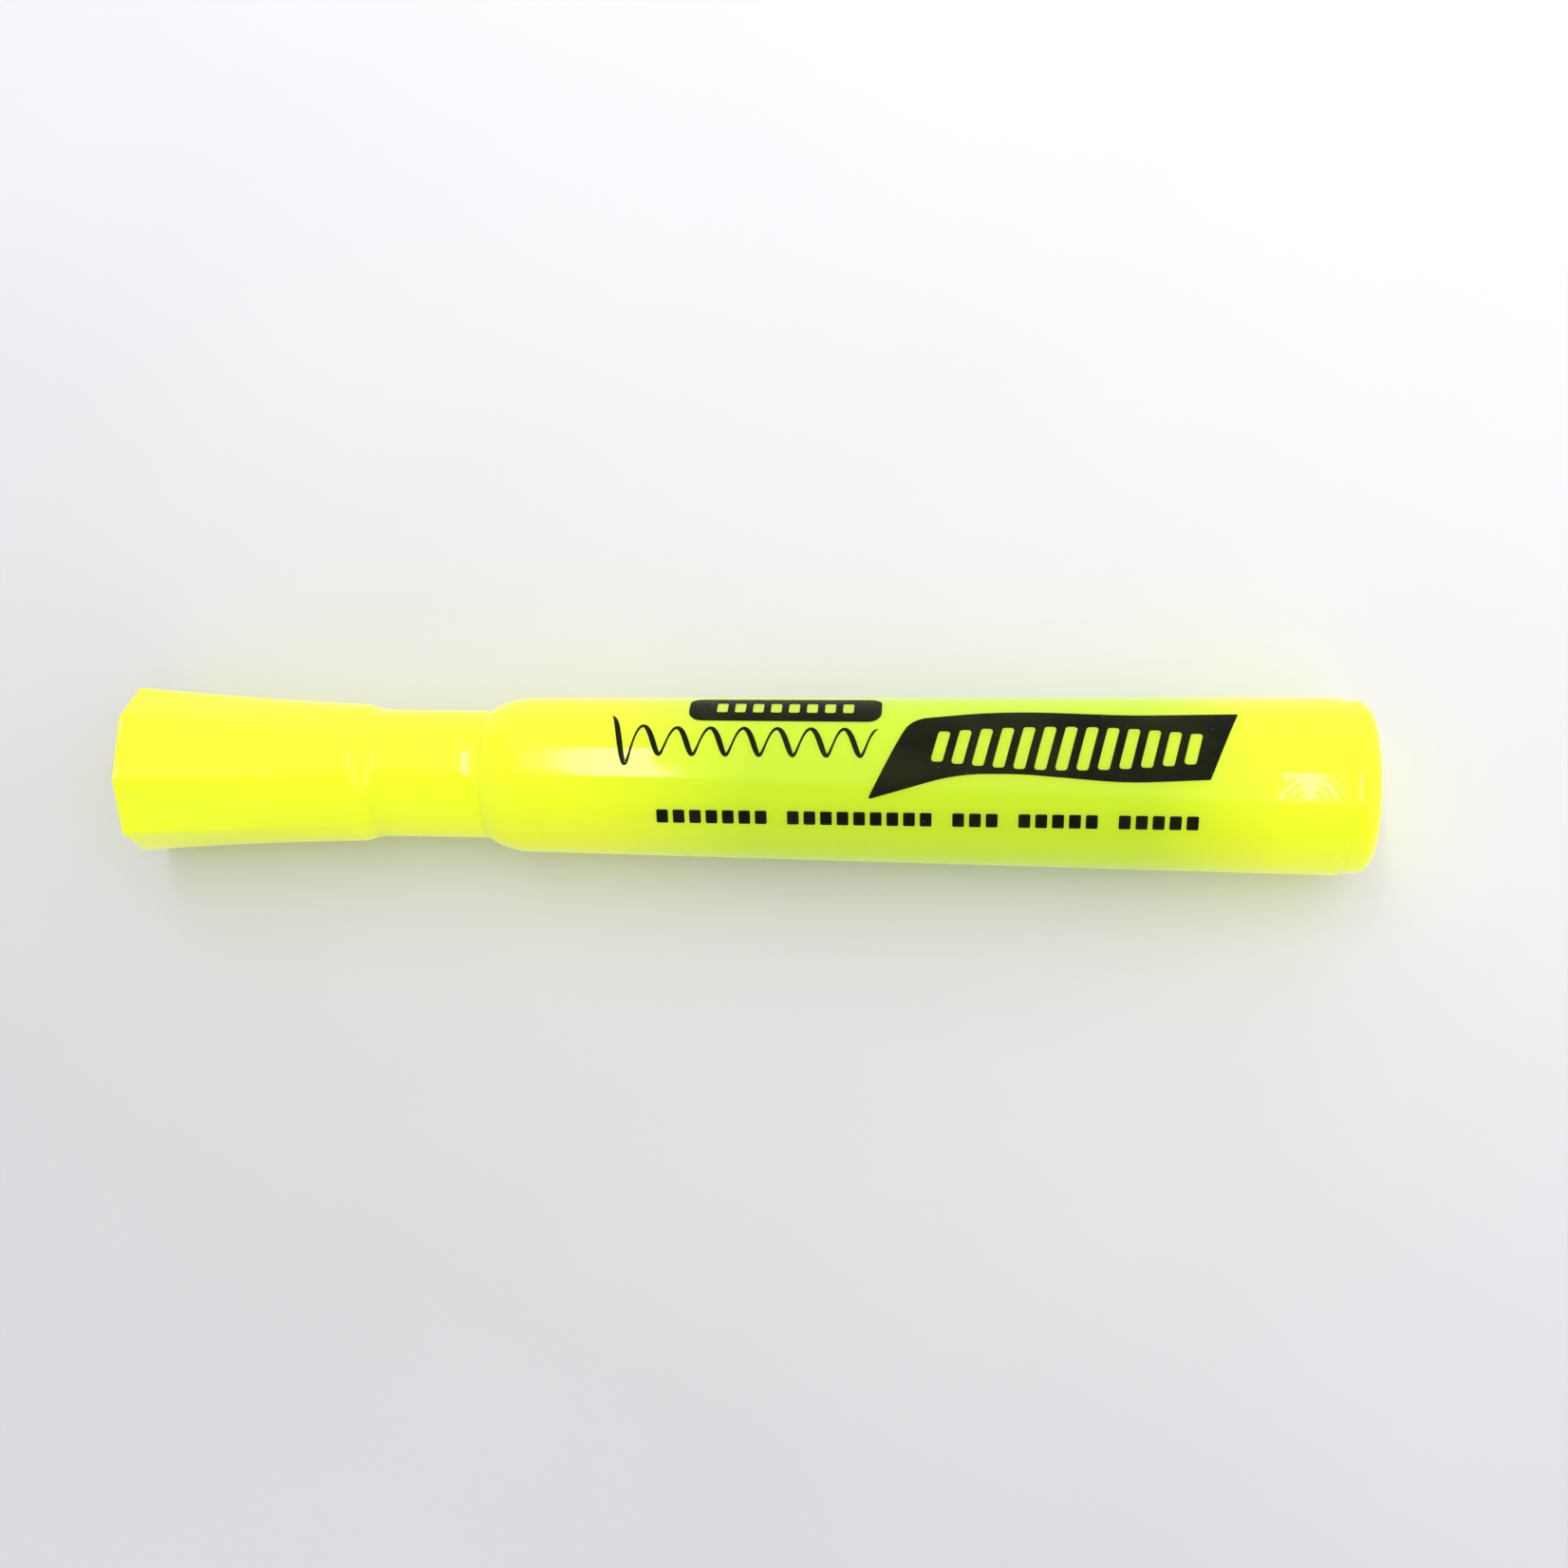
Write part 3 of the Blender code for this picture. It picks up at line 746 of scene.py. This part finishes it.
def printed(name, outlines):
    """A thin closed layer on the barrel, from closed outlines of (station, arc) points.

    An outline inside another makes a hole. The flat shape is filled and cut at a scale of
    millimetres, then cut into strips that are narrow enough to follow the barrel's round.
    """
    curve = bpy.data.curves.new(name, "CURVE")
    curve.dimensions = "2D"
    curve.fill_mode = "BOTH"
    for outline in outlines:
        spline = curve.splines.new("POLY")
        spline.points.add(len(outline) - 1)
        for point, (x, y) in zip(spline.points, outline):
            point.co = (x / MM, y / MM, 0.0, 1.0)
        spline.use_cyclic_u = True
    flat = bpy.data.objects.new(name, curve)
    bpy.context.scene.collection.objects.link(flat)
    bpy.context.view_layer.update()
    depsgraph = bpy.context.evaluated_depsgraph_get()
    mesh = bpy.data.meshes.new_from_object(flat.evaluated_get(depsgraph))
    bpy.data.objects.remove(flat)
    shape = bmesh.new()
    shape.from_mesh(mesh)
    bmesh.ops.remove_doubles(shape, verts=shape.verts, dist=SAME_POINT / MM)
    low, high = (pick(v.co.y for v in shape.verts) for pick in (min, max))
    step = FRONT_RADIUS / MM * STRIP_ANGLE
    for k in range(math.ceil(low / step), math.floor(high / step) + 1):
        geometry = shape.verts[:] + shape.edges[:] + shape.faces[:]
        bmesh.ops.bisect_plane(shape, geom=geometry, plane_co=(0, k * step, 0), plane_no=(0, 1, 0))
    raised = bmesh.ops.extrude_face_region(shape, geom=shape.faces[:], use_keep_orig=True)["geom"]
    top = {v for v in raised if isinstance(v, bmesh.types.BMVert)}
    for vert in shape.verts:
        station = vert.co.x * MM
        radius = barrel_radius(station)
        lift = PRINT_HEIGHT if vert in top else -PRINT_DEPTH
        vert.co = at(station, radius + lift, vert.co.y * MM / radius)
    put_in_order(shape.verts, lambda vert: vert.co)
    put_in_order(shape.faces, lambda face: face.calc_center_median())
    return finish_mesh(name, shape)


def make_top_bar():
    """A solid bar with a row of small blocks left open in it."""
    (start, low), (end, high) = (56.0 * MM, 4.4 * MM), (74.7 * MM, 8.7 * MM)
    middle = ((start + end) / 2, (low + high) / 2)
    bar = capsule(middle, high - low, end - start, 0.0, 1.3 * MM)
    count, pitch, height, width = 8, 1.75 * MM, 1.7 * MM, 1.05 * MM
    stations = [middle[0] + (k - (count - 1) / 2) * pitch for k in range(count)]
    blocks = [capsule((x, middle[1]), height, width, 0.0, 0.2 * MM) for x in stations]
    return printed("print_top_bar", [bar, *blocks])


def make_squiggle():
    """A pen-drawn wave, thick on its way down and thin on its way up, whose first stroke is tall."""
    start, end, middle = 48.6 * MM, 74.4 * MM, 2.0 * MM
    waves, sway, steps = 8, 0.12 * MM, 320
    first_height, height = 2.9 * MM, 1.45 * MM
    thin, thick = 0.10 * MM, 0.27 * MM
    sides = ([], [])
    for i in range(steps + 1):
        share = i / steps
        phase = 2 * math.pi * waves * share
        swing = mix(first_height, height, smooth_step(0.0, 0.16, share))
        x = mix(start, end, share) + sway * math.sin(phase)
        y = middle + swing * math.cos(phase)
        dx = (end - start) / (2 * math.pi * waves) + sway * math.cos(phase)
        dy = -swing * math.sin(phase)
        falling = 0.5 + 0.5 * math.sin(phase)
        half = mix(thin, thick, falling) * smooth_step(-0.01, 0.02, min(share, 1 - share))
        size = math.hypot(dx, dy)
        for side, sign in zip(sides, (1, -1)):
            side.append((x - sign * dy / size * half, y + sign * dx / size * half))
    return printed("print_squiggle", [sides[0] + sides[1][::-1]])


def make_panel():
    """A long slanted panel with a row of leaning strokes left open in it."""
    lower_edge = [(73.5, -3.6, 0.15), (82.0, -1.05, 20.0), (88.0, -1.0, 40.0), (98.0, -1.75, 40.0)]
    rear_end = [(105.7, -1.35, 0.15), (108.6, 5.95, 0.15)]
    upper_edge = [(98.4, 5.6, 60.0), (90.5, 6.0, 60.0), (85.5, 6.0, 40.0), (77.6, 4.8, 3.0)]
    corners = [(x * MM, y * MM, size * MM) for x, y, size in lower_edge + rear_end + upper_edge]
    panel = filleted(corners, closed=True)
    count, first, pitch, middle = 13, 80.4 * MM, 1.98 * MM, 1.7 * MM
    short, tall, width, lean = 3.0 * MM, 4.6 * MM, 1.15 * MM, math.radians(14)
    strokes = []
    for k in range(count):
        height = mix(short, tall, math.sin(math.pi * (k + 0.5) / count))
        strokes.append(capsule((first + k * pitch, middle), height, width, lean, 0.3 * MM))
    return printed("print_panel", [panel, *strokes])


def make_dash_row():
    """A row of small blocks in groups, where the pen has its small print."""
    height, width, pitch, space = 1.45 * MM, 1.12 * MM, 1.585 * MM, 1.5 * MM
    groups = (7, 9, 3, 5, 5)
    start, middle = 53.8 * MM, -5.6 * MM
    blocks = []
    x = start
    for group in groups:
        for _ in range(group):
            blocks.append(capsule((x, middle), height, width, 0.0, 0.15 * MM))
            x += pitch
        x += space
    return printed("print_dash_row", blocks)


# ---- Assembly
YELLOW = (0.86, 0.96, 0.021)
DEEPER_YELLOW = (0.82, 0.93, 0.019)
# The barrel's middle colour is partly the reservoir behind the wall and partly painted shade.
INK_AND_PAINTED_SHADE = (0.50, 0.72, 0.022)  # the reservoir showing through the wall, darkened further by painted shade on the barrel's middle
cap_material = fluorescent_plastic("cap_yellow", YELLOW, DEEPER_YELLOW)
barrel_material = fluorescent_plastic(
    "barrel_yellow", YELLOW, DEEPER_YELLOW, (INK_AND_PAINTED_SHADE, (45 * MM, 62 * MM, 100 * MM, 112 * MM))
)
plug_material = fluorescent_plastic("plug_yellow", YELLOW, DEEPER_YELLOW)
white = white_plastic("natural_white")
ink = printed_ink("black_print")
nib_felt = felt("nib_felt", (0.78, 0.90, 0.05), (0.60, 0.72, 0.03))
fibre = felt("ink_fibre", (0.72, 0.86, 0.05), (0.5, 0.62, 0.03))
film = clear_film("clear_film")


def dress(piece, body, material, slot=None, *nodes):
    """Gives a piece its material, puts it under its body's empty and hides the CAD nodes that it
    stands for.
    """
    piece.data.materials.clear()
    piece.data.materials.append(material)
    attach(piece, body)
    if nodes:
        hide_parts(*nodes)


dress(make_barrel(), "barrel_body", barrel_material, "barrel_plastic", "barrel")
dress(make_plug(), "barrel_body", plug_material, "plug_plastic", "end_plug")
dress(make_cap(), "cap_body", cap_material, "cap_plastic", "cap_shell")
dress(make_crown(), "cap_body", cap_material, "cap_plastic", "cap_crown")
dress(make_sealing_cup(), "cap_body", white, "white_plastic", "inner_cap")
dress(make_nib_holder(), "barrel_body", white, "white_plastic", "nib_holder")
dress(make_nib(), "barrel_body", nib_felt, "nib_felt", "chisel_nib")
for make in (make_top_bar, make_squiggle, make_panel, make_dash_row):
    dress(make(), "barrel_body", ink)


def repaint(node, material):
    """A carried-over CAD node in a better material."""
    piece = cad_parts[node]
    piece.data.materials.clear()
    piece.data.materials.append(material)


repaint("reservoir_fibre", fibre)
repaint("reservoir_film", film)
repaint("breather_tube", white)


# ---- Floor, light and camera
FLOOR_SIZE = 3.0  # from its middle to a side
FLOOR_GAP = 0.03 * MM
# The table's two colours are painted shade and painted light, blended across it.
FLOOR_IN_PAINTED_SHADE = (0.625, 0.610, 0.630)
FLOOR_IN_PAINTED_LIGHT = (0.930, 0.915, 0.938)
PAINTED_LIGHT_WAY = (0.4, 0.92, 0.0)  # the table's painted light grows this way
PAINTED_LIGHT_SPAN = 80 * MM  # on either side of the pen's middle


def floor_place():
    """The table's slope and a point on it: it meets the barrel's rear edge and the cap's end."""
    downward = [math.radians(180 + k) for k in range(-30, 31)]
    reaches = [-CAP_APOTHEM * (1 + flats_bulge(turn)) * math.cos(turn) for turn in downward]
    rise = AXIS_Z - max(reaches) - barrel_low.z
    rear_contact = Vector((barrel_high.x, 0.0, barrel_low.z))
    return math.atan2(-rise, barrel_high.x - cap_low.x), rear_contact


def make_floor():
    """A pale, satin table top, coloured lighter one way and darker the other as painted light and
    shade.
    """
    slope, contact = floor_place()
    shape = bmesh.new()
    bmesh.ops.create_grid(shape, x_segments=2, y_segments=2, size=FLOOR_SIZE)
    mesh = bpy.data.meshes.new("floor")
    shape.to_mesh(mesh)
    shape.free()
    floor = bpy.data.objects.new("floor", mesh)
    bpy.context.scene.collection.objects.link(floor)
    floor.rotation_euler.y = -slope
    floor.location = contact - Vector((0.0, 0.0, FLOOR_GAP))
    n = Nodes("pale_table")
    # Painted light and shade: the table's colour darkens towards the near left.
    along = n.across(PAINTED_LIGHT_WAY, -PAINTED_LIGHT_SPAN, PAINTED_LIGHT_SPAN)
    painted_falloff = n.ramp(along, [(0.0, FLOOR_IN_PAINTED_SHADE), (1.0, FLOOR_IN_PAINTED_LIGHT)])
    clouds = n.ramp(n.noise(30.0), [(0.3, 0.98), (0.7, 1.0)])
    n.link(n.blend(1.0, painted_falloff, clouds, mode="MULTIPLY"), n.shader.inputs["Base Color"])
    n.bump((n.noise(1500.0), 0.05, 0.1 * MM))
    n.set(Roughness=0.55)
    mesh.materials.append(n.material)


LIT_SIDES = (((0.787, 0.561, 0.258), 1.26), ((-0.85, 0.0, -0.53), 0.70))  # (direction, strength)
DIM_SIDE = 0.34
SIDE_BLEND = 0.07  # half the width of the step from lit to dim, as a sine
AIR_COLOUR = (0.97, 0.98, 1.0, 1.0)


def make_world():
    """Soft white surroundings, dim towards -Y, where whoever holds the camera stands."""
    world = bpy.data.worlds.new("studio")
    bpy.context.scene.world = world
    world.use_nodes = True
    nodes, links = world.node_tree.nodes, world.node_tree.links
    coords = nodes.new("ShaderNodeTexCoord")
    brightest = nodes.new("ShaderNodeMath")
    brightest.operation = "MAXIMUM"
    for k, (direction, strength) in enumerate(LIT_SIDES):
        side = nodes.new("ShaderNodeVectorMath")
        side.operation = "DOT_PRODUCT"
        side.inputs[1].default_value = direction
        links.new(coords.outputs["Generated"], side.inputs[0])
        step = nodes.new("ShaderNodeMapRange")
        step.interpolation_type = "SMOOTHSTEP"
        step.inputs["From Min"].default_value = -SIDE_BLEND
        step.inputs["From Max"].default_value = SIDE_BLEND
        step.inputs["To Min"].default_value = DIM_SIDE
        step.inputs["To Max"].default_value = strength
        links.new(side.outputs["Value"], step.inputs["Value"])
        links.new(step.outputs["Result"], brightest.inputs[k])
    background = nodes["Background"]
    background.inputs["Color"].default_value = AIR_COLOUR
    links.new(brightest.outputs["Value"], background.inputs["Strength"])


LAMP_HEIGHT = 2.0
LAMP_TURN = math.radians(2.0)
LAMP_BRIGHTNESS = 11.0
CAP_LAMP = ((-12.05, -9.2), (-12.0, 29.0))  # spans along X and Y, in degrees from straight up
PLUG_LAMP = ((9.5, 10.6), (-31.8, 4.6))


def add_lamp(name, shape):
    """An area lamp and its object."""
    lamp = bpy.data.lights.new(name, "AREA")
    lamp.shape = shape
    made = bpy.data.objects.new(name, lamp)
    bpy.context.scene.collection.objects.link(made)
    return lamp, made


def ceiling_lamp(name, spans):
    """A rectangular lamp far above the pen, which shows as a highlight on the barrel."""
    (left, right), (near, far) = (
        [LAMP_HEIGHT * math.tan(math.radians(v)) for v in span] for span in spans
    )
    lamp, made = add_lamp(name, "RECTANGLE")
    lamp.size, lamp.size_y = right - left, far - near
    lamp.energy = LAMP_BRIGHTNESS * math.pi * lamp.size * lamp.size_y
    made.location = ((left + right) / 2, (near + far) / 2, LAMP_HEIGHT)
    made.rotation_euler.z = LAMP_TURN


def soft_fill():
    """A large soft light from -Y that lifts the shadows. It isn't mirrored in the plastic."""
    lamp, made = add_lamp("soft_fill", "DISK")
    lamp.size = 0.8
    lamp.energy = 0.2
    made.location = (0.0, -0.5, 0.5)
    made.rotation_euler = (-made.location).to_track_quat("-Z", "Y").to_euler()
    made.visible_glossy = False


CAMERA_FOOT = 79.9 * MM  # the station that the camera stands over
CAMERA_REACH = 214.5 * MM
CAMERA_LEAN = math.radians(12.0)  # towards -Y
CAMERA_TURN = math.radians(3.97)  # towards the cap
CAMERA_ROLL = math.radians(0.84)
AIM_DROP = 0.55 * MM  # how far below the pen's axis in the view it aims
LENS = 49.9  # in millimetres, for a sensor 36 mm wide


def make_camera():
    """A camera above the barrel, leaning a little towards -Y and turned towards the cap."""
    foot = Vector((ORIGIN_X + CAMERA_FOOT, 0.0, AXIS_Z))
    outward = Vector((0.0, -math.sin(CAMERA_LEAN), math.cos(CAMERA_LEAN)))
    downward = Vector((0.0, -math.cos(CAMERA_LEAN), -math.sin(CAMERA_LEAN)))
    place = foot + CAMERA_REACH * outward
    sideways = Vector((CAMERA_REACH * math.tan(CAMERA_TURN), 0.0, 0.0))
    forward = (foot - sideways + AIM_DROP * downward - place).normalized()
    level = Vector((1.0, 0.0, 0.0))
    level = (level - level.dot(forward) * forward).normalized()
    upright = level.cross(forward)
    right = math.cos(CAMERA_ROLL) * level + math.sin(CAMERA_ROLL) * upright
    up = math.cos(CAMERA_ROLL) * upright - math.sin(CAMERA_ROLL) * level
    camera = bpy.data.cameras.new("camera")
    camera.sensor_width = 36.0
    camera.lens = LENS
    camera.clip_start = 0.01
    made = bpy.data.objects.new("camera", camera)
    bpy.context.scene.collection.objects.link(made)
    basis = Matrix((right, up, -forward)).transposed()
    made.matrix_world = Matrix.Translation(place) @ basis.to_4x4()
    bpy.context.scene.camera = made


make_floor()
make_world()
ceiling_lamp("lamp_over_cap", CAP_LAMP)
ceiling_lamp("lamp_over_plug", PLUG_LAMP)
soft_fill()
make_camera()
bpy.context.scene.view_settings.view_transform = "Standard"
